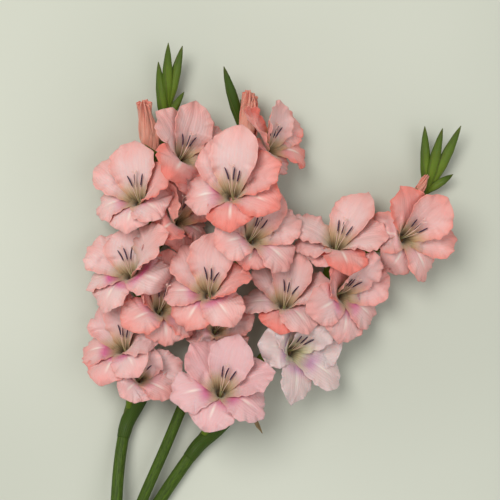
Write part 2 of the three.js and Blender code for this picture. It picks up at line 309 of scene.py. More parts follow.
# Clockwise from the hood. Lengths and half widths in mm for a floret of size 1, leans in degrees.
tepalShapes = [
    {"length": 73, "width": 28, "flare": 45, "cup": 0.85, "curl": 14, "ruffle": 0.12, "inner": 1, "lower": 0},
    {"length": 68, "width": 27, "flare": 72, "cup": 0.7, "curl": 18, "ruffle": 0.14, "inner": 0, "lower": 0},
    {"length": 60, "width": 25.5, "flare": 112, "cup": 0.7, "curl": 30, "ruffle": 0.14, "inner": 1, "lower": 1},
    {"length": 59, "width": 26, "flare": 118, "cup": 0.7, "curl": 32, "ruffle": 0.14, "inner": 0, "lower": 1},
    {"length": 60, "width": 25.5, "flare": 112, "cup": 0.7, "curl": 30, "ruffle": 0.14, "inner": 1, "lower": 1},
    {"length": 68, "width": 27, "flare": 72, "cup": 0.7, "curl": 18, "ruffle": 0.14, "inner": 0, "lower": 0},
]


# One tepal as a sheet of points in metres, with how far along and across it each point lies
def tepalSheet(flower, shape, which, rng):
    v = np.linspace(0, 1, petals["rows"])[:, None]
    u = np.linspace(-1, 1, petals["columns"])[None, :]
    size = flower["size"] * mm
    length, half = shape["length"] * size, shape["width"] * size
    turn = 60 * which + shape.get("turn", 0)
    hood, axis = flower["hood"], flower["axis"]
    right = np.cross(hood, axis)
    spoke, sideways = turned(hood, right, turn), turned(right, -hood, turn)
    # its middle line leans out of the throat, flares and curls back
    bell = petals["throat lean"]
    fine = np.linspace(0, 1, 240)
    bend = (shape["flare"] - bell) * (1 - (1 - fine) ** 2) + shape["curl"] * smooth(0.72, 1, fine)
    leans = np.radians(bell + bend)
    between, step = (leans[1:] + leans[:-1]) / 2, length / 239
    out = np.concatenate([[0], np.cumsum(np.sin(between)) * step])
    forward = np.concatenate([[0], np.cumsum(np.cos(between)) * step])
    radius = petals["throat"] * size + np.interp(v, fine, out)
    ahead = np.interp(v, fine, forward) - petals["throat depth"] * size
    lean = np.interp(v, fine, leans)
    # its width swells from the base and closes to the tip
    widest, base = petals["widest"], petals["base width"]
    swell = base + (1 - base) * np.sin(np.pi / 2 * np.minimum(v / widest, 1)) ** 1.25
    point = shape.get("point", petals["point"][shape["inner"]])
    close = (1 - np.maximum(0, (v - widest) / (1 - widest)) ** 2.3) ** point
    x = u * half * swell * np.maximum(close, 0.02)
    around = np.arctan2(x, (v - 0.5) * length)
    rim = 1 - (1 - np.abs(u)) * (1 - smooth(0.74, 1, v))
    phase = rng.uniform(0, 2 * np.pi, 8)
    frill = np.sin(11 * around + phase[0]) + 0.6 * np.sin(19 * around + phase[4])
    x = x * (1 + petals["frill"] * rim ** 3 * frill)
    # cupped across, about the floret's axis
    curve = shape["cup"] * np.cos(lean) / radius
    curve = np.where(np.abs(curve) < 0.5, 0.5, curve)
    across = np.sin(x * curve) / curve
    rise = (1 - np.cos(x * curve)) / curve
    normal = axis * np.sin(lean)[..., None] - spoke * np.cos(lean)[..., None]
    place = flower["mouth"] + spoke * radius[..., None] + axis * ahead[..., None]
    sheet = place + sideways * across[..., None] + normal * rise[..., None]
    # waves along the rim, the midrib's groove and fine pleats
    waves = 0
    for (height, fewest, most), start in zip(petals["waves"], phase[1:]):
        waves = waves + height * np.sin(rng.uniform(fewest, most) * around + start)
    lift = shape["ruffle"] * half * rim ** 2.4 * smooth(0.1, 0.5, v) * waves
    lift = lift + shape.get("fold", 0) * half * rim ** 2.2 * smooth(0.25, 0.8, v)
    groove = np.exp(-((u / 0.07) ** 2)) * smooth(0.05, 0.3, v) * (1 - smooth(0.75, 1, v))
    lift = lift - petals["midrib"] * size * groove
    lift = lift + petals["pleats"] * size * np.cos(u * 8.5 * np.pi) * smooth(0.08, 0.3, v) * (1 - 0.6 * rim)
    lift = lift + petals["inner lift"] * size * shape["inner"]
    tilt = math.radians(shape["twist"]) * smooth(0.15, 1, v) * x
    sheet = sheet + normal * (lift + tilt)[..., None] + sideways * (shape["sway"] * size * v ** 2)[..., None]
    return sheet, u + 0 * v, v + 0 * u


# The middle line of a floret's tube, from its foot through its middle to its mouth
def tubeLine(flower, share):
    foot, middle, mouth = flower["foot"], flower["middle"], flower["mouth"]
    pull = middle * 2 - (foot + mouth) / 2
    share = np.asarray(share)[:, None]
    return (1 - share) ** 2 * foot + 2 * share * (1 - share) * pull + share ** 2 * mouth


def tubeRadius(flower, share):
    return (petals["tube foot"] + petals["tube widening"] * np.asarray(share) ** 1.7) * flower["size"] * mm


# The tube as one closed wall, open at its mouth and shut at its foot
def tubeShell(flower):
    rows, columns, start, bottom = (petals["tube " + key] for key in ("rows", "columns", "start", "bottom"))
    share = np.concatenate([np.linspace(start, 1, rows), np.linspace(0.97, bottom, rows - 4)])
    line = tubeLine(flower, share)
    known = np.linspace(0, 1, 60)
    way = unit(pointsAt(share, known, unit(np.gradient(tubeLine(flower, known), axis=0))))
    side = unit(np.cross(flower["hood"], way))
    top = np.cross(way, side)
    turn = np.linspace(0, 2 * np.pi, columns, endpoint=False)
    wall = np.where(np.arange(len(share)) < rows, 0, petals["tube wall"] * flower["size"] * mm)
    radius = tubeRadius(flower, share) - wall
    ring = side[:, None] * np.cos(turn)[None, :, None] + top[:, None] * np.sin(turn)[None, :, None]
    sheet = line[:, None] + ring * radius[:, None, None]
    points = np.concatenate([sheet.reshape(-1, 3), sheet[0].mean(0)[None], sheet[-1].mean(0)[None]])
    along = np.concatenate([np.repeat(share, columns), [start, bottom]])
    return points, closedTube(len(share), columns), along


# A sheath round a line, centred on the side that toward points to: a radius and a half angle for each row.
# flat squeezes it, and veins are fine ribs along it.
def sheathSheet(line, toward, radius, halfAngle, columns=25, veins=9, depth=0.12, flat=1.0):
    way = unit(np.gradient(line, axis=0))
    side = unit(np.cross(toward, way))
    top = np.cross(way, side) * flat
    u = np.linspace(-1, 1, columns)[None, :]
    turn = u * np.asarray(halfAngle)[:, None]
    reach = (np.asarray(radius)[:, None] + depth * mm * np.cos(u * veins * np.pi))[..., None]
    sheet = line[:, None] + (top[:, None] * np.cos(turn)[..., None] + side[:, None] * np.sin(turn)[..., None]) * reach
    v = np.linspace(0, 1, len(line))[:, None]
    return sheet, u + 0 * v, v + 0 * u


# A map of heights over the bunch, one cell for each square of its grid
class heightMap:
    cell = 1.5 * mm

    def __init__(self, empty):
        low, high = np.array(cadBox[0]) - 0.03, np.array(cadBox[1]) + 0.03
        self.low = low[:2]
        self.shape = tuple(np.ceil((high[:2] - low[:2]) / self.cell).astype(int))
        self.grid = np.full(self.shape, empty)

    def index(self, points):
        cells = ((points[..., :2] - self.low) / self.cell).astype(int)
        return np.clip(cells[..., 0], 0, self.shape[0] - 1), np.clip(cells[..., 1], 0, self.shape[1] - 1)

    def lower(self, sheet):
        np.minimum.at(self.grid, self.index(sheet), sheet[..., 2])

    def raiseTo(self, sheet):
        np.maximum.at(self.grid, self.index(sheet), sheet[..., 2])

    # spreads the lowest or highest heights sideways by some cells
    def spread(self, cells, pick):
        grid = self.grid
        for _ in range(cells):
            padded = np.pad(grid, 1, mode="edge")
            rows, columns = grid.shape
            grid = pick.reduce([padded[i:i + rows, j:j + columns] for i in range(3) for j in range(3)])
        self.grid = grid

    def at(self, points):
        return self.grid[self.index(points)]


def dense(sheet):
    rows = np.concatenate([sheet, (sheet[1:] + sheet[:-1]) / 2])
    return np.concatenate([rows.reshape(-1, 3), ((rows[:, 1:] + rows[:, :-1]) / 2).reshape(-1, 3)])


# How much each point moves, so that the points beside one that has to move give way with it
def easedOut(push, rounds=26):
    spread = push.copy()
    for _ in range(rounds):
        padded = np.pad(spread, 1, mode="edge")
        mean = (padded[2:, 1:-1] + padded[:-2, 1:-1] + padded[1:-1, 2:] + padded[1:-1, :-2]) / 4
        spread = np.maximum(push, mean * 0.985)
    return spread


# Sheets are {floret: [(front, sheet)]}: each sheet goes below those that lie in front of it, and above the stems
# and the surface. Tepals of one floret only part where they have left its throat.
def tuckUnder(sheets, ground):
    clearance = petals["apart"] * mm
    sky = 1.0  # metres up, over everything
    order = [(front, name, k) for name, some in sheets.items() for k, (front, _) in enumerate(some)]
    ceilings = {name: heightMap(sky) for name in sheets}
    own = {name: heightMap(sky) for name in sheets}
    for _, name, k in sorted(order, reverse=True):
        sheet = sheets[name][k][1]
        free = smooth(0.14, 0.36, np.linspace(0, 1, len(sheet)))[:, None]
        ceiling = heightMap(sky)
        ceiling.grid = np.minimum.reduce([c.grid for other, c in ceilings.items() if other != name])
        ceiling.spread(2, np.minimum)
        beside = heightMap(sky)
        beside.grid = own[name].grid
        beside.spread(1, np.minimum)
        push = np.maximum(0, sheet[..., 2] - (ceiling.at(sheet) - clearance)) * free
        apart = np.maximum(0, sheet[..., 2] - (beside.at(sheet) - 0.6 * clearance))
        push = np.maximum(push, np.minimum(apart, petals["most apart"] * mm) * free)
        sheet[..., 2] -= easedOut(push) * free
        rise = np.maximum(0, ground.at(sheet) - sheet[..., 2])
        sheet[..., 2] += easedOut(rise, 14) * smooth(0.05, 0.25, free)
        ceilings[name].lower(dense(sheet))
        own[name].lower(dense(sheet[len(sheet) // 3:]))


def newMaterial(name):
    material = bpy.data.materials.new(name)
    material.use_nodes = True
    tree = material.node_tree
    tree.nodes.clear()
    output = tree.nodes.new("ShaderNodeOutputMaterial")
    shader = tree.nodes.new("ShaderNodeBsdfPrincipled")
    tree.links.new(shader.outputs[0], output.inputs["Surface"])
    return material, tree, shader


# What comes from another node is linked, and the rest is set
def setSockets(tree, node, values):
    for key, value in values.items():
        if isinstance(value, bpy.types.NodeSocket):
            tree.links.new(value, node.inputs[key])
        else:
            node.inputs[key].default_value = value


def addNode(tree, kind, inputs=None, **settings):
    made = tree.nodes.new(kind)
    for key, value in settings.items():
        setattr(made, key, value)
    setSockets(tree, made, inputs or {})
    return made


def pointValue(tree, name):
    return addNode(tree, "ShaderNodeAttribute", attribute_name=name).outputs["Fac"]


def maths(tree, kind, a, b=0.0, c=0.0):
    return addNode(tree, "ShaderNodeMath", {0: a, 1: b, 2: c}, operation=kind).outputs[0]


def times(tree, a, b, plus=None):
    return maths(tree, "MULTIPLY", a, b) if plus is None else maths(tree, "MULTIPLY_ADD", a, b, plus)


def span(tree, value, low, high, toLow=0.0, toHigh=1.0):
    inputs = {"Value": value, "From Min": low, "From Max": high, "To Min": toLow, "To Max": toHigh}
    return addNode(tree, "ShaderNodeMapRange", inputs, interpolation_type="SMOOTHSTEP").outputs["Result"]


def colourOf(values):
    linear = [((c / 255 + 0.055) / 1.055) ** 2.4 if c > 10 else c / 255 / 12.92 for c in values]
    return (*linear, 1)


def blended(tree, amount, a, b):
    sides = [value if isinstance(value, bpy.types.NodeSocket) else colourOf(value) for value in (a, b)]
    inputs = {0: amount, 6: sides[0], 7: sides[1]}
    return addNode(tree, "ShaderNodeMix", inputs, data_type="RGBA", clamp_factor=True).outputs[2]


def noise(tree, scale, detail=3.0, where=None):
    where = where or addNode(tree, "ShaderNodeTexCoord").outputs["Object"]
    return addNode(tree, "ShaderNodeTexNoise", {"Scale": scale, "Detail": detail, "Vector": where}).outputs["Fac"]


def bump(tree, height, strength, distance):
    return addNode(tree, "ShaderNodeBump", {"Height": height, "Strength": strength, "Distance": distance}).outputs[0]


petalColours = {
    "face": (229, 191, 189),
    "edge": (232, 140, 130),
    "deep": (230, 118, 106),
    "back": (230, 162, 152),
    "rose": (222, 168, 174),
    "throat": (170, 150, 100),
    # painted shade deep in the throat and the tube
    "painted throat shade": (78, 58, 24),
    "streak": (132, 46, 58),
    "blush": (208, 96, 146),
    "midrib": (250, 232, 222),
}
lilacColours = dict(petalColours, face=(225, 197, 193), edge=(219, 177, 180), deep=(210, 160, 166),
                    back=(220, 188, 188), rose=(218, 182, 190), blush=(186, 134, 172), throat=(184, 178, 128))
budColours = dict(petalColours, face=(228, 156, 138), edge=(224, 128, 112), deep=(204, 100, 84),
                  back=(216, 146, 126))


# Petal skin: pale towards the middle, coral towards the rim, with fine veins, a pale midrib and a throat darkened by
# painted shade
def petalMaterial(name, colours):
    material, tree, shader = newMaterial(name)
    across, along = pointValue(tree, "across"), pointValue(tree, "along")
    lower, back = pointValue(tree, "lower"), pointValue(tree, "back")
    warmth, blush = pointValue(tree, "warmth"), pointValue(tree, "blush")
    edge = maths(tree, "ABSOLUTE", across)
    cloud = noise(tree, 55, 3)
    fine = noise(tree, 420, 2)
    # where the coral is: the rim and the outer third, more on a warm tepal
    rimward = maths(tree, "MAXIMUM", span(tree, edge, 0.45, 1.05), span(tree, along, 0.55, 1.05))
    coral = times(tree, rimward, 0.6, times(tree, warmth, 1.3, -0.5))
    coral = maths(tree, "ADD", coral, times(tree, cloud, 0.5, -0.25))
    colour = blended(tree, coral, colours["face"], colours["edge"])
    deeper = span(tree, maths(tree, "ADD", coral, span(tree, edge, 0.6, 1.0, 0, 0.15)), 0.75, 1.4)
    colour = blended(tree, deeper, colour, colours["deep"])
    colour = blended(tree, times(tree, back, 0.6), colour, colours["back"])
    colour = blended(tree, times(tree, pointValue(tree, "rosy"), 0.6), colour, colours["rose"])
    # veins run from the throat to the rim
    fan = times(tree, across, 46, times(tree, cloud, 11.0))
    ripple = maths(tree, "SINE", maths(tree, "ADD", fan, times(tree, fine, 2.5)))
    vein = span(tree, ripple, 0.35, 1.0)
    colour = blended(tree, times(tree, vein, 0.1), colour, colours["edge"])
    # midrib, whitest on the lower tepals
    rib = span(tree, edge, 0.0, 0.11, 1, 0)
    ribLength = times(tree, span(tree, along, 0.24, 0.42), span(tree, along, 0.55, 0.8, 1, 0))
    ribAmount = times(tree, times(tree, rib, ribLength), times(tree, lower, 0.62, 0.05))
    colour = blended(tree, ribAmount, colour, colours["midrib"])
    # blush beside the throat of the lower tepals
    blot = times(tree, span(tree, along, 0.12, 0.24), span(tree, along, 0.24, 0.56, 1, 0))
    blot = times(tree, blot, span(tree, edge, 0.25, 1.0, 1, 0.2))
    blot = times(tree, times(tree, blot, blush), span(tree, cloud, 0.3, 0.55, 0.9, 1.6))
    colour = blended(tree, blot, colour, colours["blush"])
    # the throat: its cream colour and streaks, and painted shade darkening its depths
    throatEdge = times(tree, cloud, 0.12, along)
    front = maths(tree, "SUBTRACT", 1.0, back)
    colour = blended(tree, times(tree, span(tree, throatEdge, 0.18, 0.5, 1, 0), 0.85), colour, colours["throat"])
    streaks = times(tree, span(tree, maths(tree, "SINE", times(tree, across, 26)), 0.2, 1.0),
                    span(tree, throatEdge, 0.14, 0.33, 1, 0))
    colour = blended(tree, times(tree, times(tree, streaks, front), 0.4), colour, colours["streak"])
    # painted shade: the deepest part of the throat goes dark brown, more on the inner face
    throatShade = times(tree, span(tree, throatEdge, 0.07, 0.26, 1, 0), times(tree, front, 0.55, 0.3))
    colour = blended(tree, throatShade, colour, colours["painted throat shade"])
    height = maths(tree, "ADD", times(tree, ripple, 0.5), times(tree, fine, 0.6))
    setSockets(tree, shader, {
        "Base Color": colour,
        "Normal": bump(tree, height, 0.22, 0.0006),
        "Roughness": span(tree, fine, 0.3, 0.7, 0.5, 0.66),
        "Specular IOR Level": 0.3,
        "Subsurface Weight": 0.35,
        "Subsurface Radius": (1.0, 0.42, 0.34),
        "Subsurface Scale": 0.003,
        "Sheen Weight": 0.25,
        "Sheen Roughness": 0.5,
    })
    return material


# front: which florets lie over which. warmth: how coral, 0 to 1. seed: its own random shape. blush: purple beside
# the throat of the lower tepals. rosy: cooler pink. all: changes to every tepal. tweaks: changes to single tepals,
# numbered from the hood clockwise, where over brings one forward.
floretLooks = {
    "left1": {"front": 58, "warmth": 0.35, "seed": 11, "blush": 0.3, "rosy": 0.3, "tweaks": {
        0: {"flare": 34, "length": 56}, 1: {"flare": 70, "width": 29}, 2: {"warmth": 0.6, "flare": 84},
        3: {"length": 49, "flare": 78}, 4: {"turn": -22, "length": 52, "flare": 92}, 5: {"flare": 48, "length": 56}}},
    "left2": {"front": 72, "warmth": 0.42, "seed": 12, "blush": 1.2, "rosy": 0.25, "tweaks": {
        1: {"turn": 14, "length": 71}, 3: {"turn": -10, "warmth": 0.6},
        4: {"length": 56, "warmth": 0.6, "point": 1.2}}},
    "left3": {"front": 76, "warmth": 0.62, "seed": 13, "blush": 0.5, "tweaks": {
        1: {"length": 58}, 2: {"length": 50, "flare": 122}, 3: {"length": 50, "flare": 124, "turn": -6},
        5: {"fold": 0.8, "warmth": 0.95}}},
    "left4": {"front": 84, "warmth": 0.35, "seed": 14, "blush": 1.5, "tweaks": {
        0: {"length": 56}, 1: {"turn": 16, "length": 80, "over": 7, "warmth": 0.5, "flare": 62},
        3: {"turn": 28}, 4: {"turn": 20, "curl": 55}}},
    "left5": {"front": 70, "warmth": 0.8, "seed": 15, "blush": 0.3, "tweaks": {
        2: {"length": 46, "flare": 120}, 3: {"length": 44, "flare": 124}, 4: {"fold": 0.7, "warmth": 1.0},
        5: {"fold": 0.9, "warmth": 1.0}}},
    "left6": {"front": 94, "warmth": 0.38, "seed": 16, "blush": 0.6, "tweaks": {
        1: {"turn": 14, "length": 60, "warmth": 0.7}, 2: {"length": 46, "flare": 120}, 3: {"length": 51},
        4: {"turn": 14, "length": 52}}},
    "left7": {"front": 74, "warmth": 0.42, "seed": 17, "blush": 0.2, "tweaks": {
        1: {"turn": 10}, 2: {"turn": -12, "warmth": 0.7}, 3: {"turn": -14, "warmth": 0.7},
        4: {"turn": -28, "length": 74, "width": 30, "flare": 92, "warmth": 0.85, "over": 22}}},
    "middle1": {"front": 50, "warmth": 0.5, "seed": 21, "blush": 0.3},
    "middle2": {"front": 86, "warmth": 0.5, "seed": 22, "blush": 0.8, "tweaks": {
        0: {"turn": -10}, 1: {"turn": 10, "length": 68, "warmth": 0.8}, 3: {"warmth": 0.7}, 4: {"length": 54}}},
    "middle3": {"front": 88, "warmth": 0.5, "seed": 23, "blush": 0.4, "tweaks": {
        2: {"turn": -4, "length": 62}, 3: {"length": 44, "flare": 126, "warmth": 0.75}}},
    "middle4": {"front": 98, "warmth": 0.45, "seed": 24, "blush": 0.3, "tweaks": {
        0: {"length": 79, "width": 29, "warmth": 0.36, "point": 0.8}, 1: {"warmth": 0.7},
        2: {"turn": -20, "warmth": 0.8}, 3: {"turn": -20, "warmth": 0.95, "length": 54},
        4: {"length": 52, "blushShare": 3, "over": 3, "turn": 6}, 5: {"turn": 14, "flare": 58}}},
    "middle5": {"front": 80, "warmth": 0.6, "seed": 25, "blush": 0.2, "tweaks": {
        0: {"length": 66, "width": 31, "warmth": 0.3}, 1: {"turn": -8}, 2: {"turn": -14, "warmth": 0.95},
        3: {"length": 38, "flare": 130}, 4: {"flare": 122, "warmth": 0.9},
        5: {"fold": 0.35, "warmth": 1.0, "flare": 84}}},
    "right1": {"front": 82, "warmth": 0.22, "seed": 31, "blush": 0.8, "rosy": 1.0, "tweaks": {
        0: {"length": 73, "width": 26, "point": 1.2}, 2: {"turn": -14}, 5: {"warmth": 0.55}}},
    "right2": {"front": 56, "warmth": 0.2, "seed": 32, "blush": 0.9, "rosy": 0.2, "all": {"ruffle": 0.09}, "tweaks": {
        2: {"turn": -12, "length": 74, "flare": 92, "curl": 6},
        3: {"turn": -8, "length": 68, "flare": 96, "curl": 12},
        4: {"turn": 22, "length": 64, "flare": 92}}},
    "right3": {"front": 78, "warmth": 0.45, "seed": 33, "blush": 0.2, "tweaks": {
        3: {"turn": -14, "warmth": 1.0, "width": 28, "length": 54}, 4: {"warmth": 0.35}}},
    "right4": {"front": 80, "warmth": 0.5, "seed": 34, "blush": 0.8, "rosy": 0.2, "tweaks": {
        0: {"length": 74, "width": 28}, 1: {"turn": 6, "length": 66}, 3: {"length": 66, "width": 28},
        4: {"length": 66, "width": 27}, 5: {"warmth": 0.85, "length": 56, "fold": 0.3}}},
    "right5": {"front": 81, "warmth": 0.45, "seed": 35, "blush": 0.2, "tweaks": {
        0: {"length": 80, "width": 27, "flare": 54, "point": 1.3}, 1: {"turn": 6, "length": 66},
        2: {"turn": 16, "warmth": 0.9, "width": 28}, 3: {"length": 46}, 4: {"turn": -14, "length": 54},
        5: {"turn": -52, "length": 68, "flare": 90, "over": 1}}},
    "right6": {"front": 79, "warmth": 0.58, "seed": 36, "blush": 0.2, "tweaks": {
        5: {"length": 72, "warmth": 0.8}}},
}


def floretSheets(name):
    look = floretLooks[name]
    rng = np.random.default_rng(look["seed"])
    made = []
    for which, shape in enumerate(tepalShapes):
        shape = {**shape, **look.get("all", {}), **look.get("tweaks", {}).get(which, {})}
        for key in ("flare", "curl", "twist", "sway"):
            shape[key] = shape.get(key, 0) + rng.uniform(-strays[key], strays[key])
        for key in ("width", "length"):
            shape[key] *= 1 + rng.uniform(-strays[key], strays[key])
        sheet, u, v = tepalSheet(florets[name], shape, which, rng)
        front = look["front"] + shape.get("over", 0) + (0.3 if shape["inner"] else 0)
        made.append({"front": front, "sheet": sheet, "u": u, "v": v, "shape": shape})
    return made


petalSkin = petalMaterial("petalPink", petalColours)
lilacSkin = petalMaterial("petalLilac", lilacColours)

allTepals = {name: floretSheets(name) for name in florets}
# the stems hold up what lies over them
ground = heightMap(petals["off floor"] * mm)
for s in stems.values():
    index = np.arange(len(s["line"]))
    fine = np.linspace(0, index[-1], 900)
    line = pointsAt(fine, index, s["line"])
    line[:, 2] += np.interp(fine, index, s["radii"]) + petals["off stem"] * mm
    for side in np.linspace(-6, 6, 9) * mm:
        ground.raiseTo(line + np.array([side, -side * 0.3, 0]))
tuckUnder({name: [(t["front"], t["sheet"]) for t in some] for name, some in allTepals.items()}, ground)


# Puts a finished piece into the frame
def fitPiece(piece, material, slot, *nodes):
    if material:
        piece.data.materials.clear()
        piece.data.materials.append(material)
    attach(piece, "root")
    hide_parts(*nodes)


for name, tepals in allTepals.items():
    look = floretLooks[name]
    parts = []
    for tepal in tepals:
        sheet, u, v, shape = tepal["sheet"], tepal["u"], tepal["v"], tepal["shape"]
        rim = 1 - (1 - np.abs(u)) * (1 - smooth(0.8, 1, v))
        wall = mixed(petals["wall"], petals["edge wall"], smooth(0.3, 1, rim)) * mm
        blush = look["blush"] * shape["lower"] * shape.get("blushShare", 1)
        parts.append(sheetPart(sheet, u, v, wall, lower=shape["lower"], warmth=shape.get("warmth", look["warmth"]),
                               blush=blush, rosy=look.get("rosy", 0)))
    points, faces, along = tubeShell(florets[name])
    values = {key: np.zeros(len(points)) for key in ("across", "lower", "warmth", "blush", "rosy")}
    # low along values give the tube the throat's cream and its painted shade
    values.update(along=along * 0.1 + 0.02, back=np.full(len(points), 0.9))
    points, faces, values = merged(parts + [(points, faces, values)])
    spike, number = name[:-1], name[-1]
    piece = meshObject(f"{spike}Petals{number}", points, faces, values)
    skin, slot = (lilacSkin, "petal_lilac") if name == "right2" else (petalSkin, "petal_pink")
    fitPiece(piece, skin, slot, f"{spike}_floret_{number}")
print("petals made")


# Stems, filaments and anthers: lines of points in, ribbed tubes out. reach on each point is the radius there.
def makeTubeTree():
    tree = bpy.data.node_groups.new("ribbedTube", "GeometryNodeTree")
    sockets = (("Lines", "Geometry", None), ("Sides", "Int", 16), ("Ribs", "Float", 2.0), ("Rib Depth", "Float", 0.0),
               ("Finish", "Material", None))
    for name, kind, value in sockets:
        socket = tree.interface.new_socket(name, in_out="INPUT", socket_type="NodeSocket" + kind)
        if value is not None:
            socket.default_value = value
    tree.interface.new_socket("Tubes", in_out="OUTPUT", socket_type="NodeSocketGeometry")
    given = tree.nodes.new("NodeGroupInput").outputs

    def step(kind, inputs, **settings):
        return addNode(tree, "GeometryNode" + kind, inputs, **settings).outputs[0]

    outline = step("CurvePrimitiveCircle", {"Resolution": given["Sides"], "Radius": 1.0})
    place = step("InputPosition", {})
    outline = step("StoreNamedAttribute", {"Geometry": outline, "Name": "girth", "Value": place},
                   data_type="FLOAT_VECTOR", domain="POINT")
    parts = addNode(tree, "ShaderNodeSeparateXYZ", {0: place}).outputs
    turn = times(tree, maths(tree, "ARCTAN2", parts["Y"], parts["X"]), given["Ribs"])
    rib = times(tree, maths(tree, "COSINE", turn), given["Rib Depth"], 1.0)
    ribbed = addNode(tree, "ShaderNodeVectorMath", {0: place, "Scale": rib}, operation="SCALE").outputs[0]
    outline = step("SetPosition", {"Geometry": outline, "Position": ribbed})
    rails = step("MeshToCurve", {"Mesh": given["Lines"]})
    reach = step("InputNamedAttribute", {"Name": "reach"}, data_type="FLOAT")
    tubes = step("CurveToMesh", {"Curve": rails, "Profile Curve": outline, "Scale": reach, "Fill Caps": True})
    tubes = step("SetShadeSmooth", {0: tubes})
    tubes = step("RealizeInstances", {0: tubes})
    tubes = step("SetMaterial", {"Geometry": tubes, "Material": given["Finish"]})
    tree.links.new(tubes, tree.nodes.new("NodeGroupOutput").inputs[0])
    return tree


tubeTree = makeTubeTree()


# lines is a list of (points, radii, values), each of which becomes a tube in one plain mesh
def tubeObject(name, lines, sides, ribs, depth, material):
    points, edges, values, start = [], [], {}, 0
    for line, radii, more in lines:
        points.append(line)
        edges += [(start + k, start + k + 1) for k in range(len(line) - 1)]
        start += len(line)
        for key, numbers in {"reach": radii, "along": np.linspace(0, 1, len(line)), **more}.items():
            values.setdefault(key, []).append(np.broadcast_to(numbers, len(line)))
    mesh = bpy.data.meshes.new(name + "Lines")
    mesh.from_pydata(np.concatenate(points).tolist(), edges, [])
    storeValues(mesh, {key: np.concatenate(numbers) for key, numbers in values.items()})
    rails = addObject(name + "Lines", mesh)
    grow = rails.modifiers.new("tubes", "NODES")
    grow.node_group = tubeTree
    inputs = {item.name: item.identifier for item in tubeTree.interface.items_tree if item.in_out == "INPUT"}
    for key, value in (("Sides", sides), ("Ribs", float(ribs)), ("Rib Depth", depth), ("Finish", material)):
        grow[inputs[key]] = value
    ready = rails.evaluated_get(bpy.context.evaluated_depsgraph_get())
    made = bpy.data.meshes.new_from_object(ready)
    made.name = name
    bpy.data.objects.remove(rails)
    return addObject(name, made)


# Green skin: long streaks, paler where young, browner at a dry rim
greens = {
    "skin": (66, 92, 10),
    "shade": (42, 61, 5),
    "young": (144, 170, 50),
    "dry": (172, 146, 110),
    "pith": (196, 204, 142),
    "pith dots": (150, 160, 92),
}


def stemMaterial():
    material, tree, shader = newMaterial("stemGreen")
    girth = addNode(tree, "ShaderNodeAttribute", attribute_name="girth").outputs["Vector"]
    along = pointValue(tree, "along")
    parts = addNode(tree, "ShaderNodeSeparateXYZ", {0: girth}).outputs
    place = addNode(tree, "ShaderNodeCombineXYZ", {"X": parts["X"], "Y": parts["Y"],
                                                   "Z": times(tree, along, 6.0)}).outputs[0]
    streak = noise(tree, 9, 3, place)
    fine = noise(tree, 34, 2, place)
    blotch = noise(tree, 22, 3)
    colour = blended(tree, span(tree, streak, 0.35, 0.65), greens["shade"], greens["skin"])
    colour = blended(tree, span(tree, fine, 0.5, 0.75, 0, 0.3), colour, greens["young"])
    colour = blended(tree, span(tree, blotch, 0.55, 0.8, 0, 0.3), colour, greens["young"])
    colour = blended(tree, span(tree, along, 0.5, 0.8, 0, 0.3), colour, greens["young"])
    setSockets(tree, shader, {
        "Base Color": colour,
        "Normal": bump(tree, maths(tree, "ADD", streak, fine), 0.3, 0.0005),
        "Roughness": span(tree, blotch, 0.3, 0.7, 0.5, 0.66),
        "Specular IOR Level": 0.25,
        "Subsurface Weight": 0.1,
        "Subsurface Radius": (0.6, 1.0, 0.2),
        "Subsurface Scale": 0.0015,
    })
    return material


def bractMaterial():
    material, tree, shader = newMaterial("bractGreen")
    across, along, young, dry = (pointValue(tree, key) for key in ("across", "along", "young", "dry"))
    edge = maths(tree, "ABSOLUTE", across)
    cloud = noise(tree, 48, 3)
    ripple = maths(tree, "SINE", times(tree, across, 58, times(tree, cloud, 4.0)))
    vein = span(tree, ripple, 0.2, 1.0)
    colour = blended(tree, times(tree, vein, 0.45, times(tree, cloud, 0.6)), greens["shade"], greens["skin"])
    fresh = times(tree, young, times(tree, cloud, 0.6, span(tree, along, 0.95, 0.2, 0.0, 0.7)))
    colour = blended(tree, fresh, colour, greens["young"])
    parched = times(tree, dry, maths(tree, "MAXIMUM", span(tree, edge, 0.9, 1.0), span(tree, along, 0.82, 1.0)))
    colour = blended(tree, times(tree, parched, 0.85), colour, greens["dry"])
    height = maths(tree, "ADD", ripple, noise(tree, 500, 2))
    setSockets(tree, shader, {
        "Base Color": colour,
        "Normal": bump(tree, height, 0.3, 0.0005),
        "Roughness": span(tree, cloud, 0.3, 0.7, 0.4, 0.56),
        "Specular IOR Level": 0.25,
        "Subsurface Weight": 0.12,
        "Subsurface Scale": 0.002,
    })
    return material


def cutMaterial():
    material, tree, shader = newMaterial("cutEnd")
    place = addNode(tree, "ShaderNodeTexCoord").outputs["Object"]
    cells = addNode(tree, "ShaderNodeTexVoronoi", {"Scale": 620.0, "Vector": place})
    dots = span(tree, cells.outputs["Distance"], 0.1, 0.45)
    colour = blended(tree, dots, greens["pith dots"], greens["pith"])
    colour = blended(tree, span(tree, pointValue(tree, "across"), 0.72, 0.98), colour, greens["skin"])
    setSockets(tree, shader, {"Base Color": colour, "Normal": bump(tree, dots, 0.4, 0.0005), "Roughness": 0.42})
    return material


stamenColours = {
    "anther": ((46, 22, 40), (84, 50, 80)),
    "thread": ((186, 184, 120), (226, 188, 178)),  # in the throat and at its tip
}


def stamenMaterial():
    material, tree, shader = newMaterial("stamens")
    kind = pointValue(tree, "kind")
    grain = noise(tree, 900, 2)
    colour = blended(tree, span(tree, grain, 0.35, 0.7), *stamenColours["anther"])
    pale = blended(tree, span(tree, pointValue(tree, "along"), 0.2, 0.9), *stamenColours["thread"])
    setSockets(tree, shader, {
        "Base Color": blended(tree, kind, pale, colour),
        "Normal": bump(tree, grain, 0.4, 0.0003),
        "Roughness": span(tree, grain, 0.3, 0.7, 0.5, 0.7),
        "Subsurface Weight": 0.15,
        "Subsurface Scale": 0.001,
    })
    return material


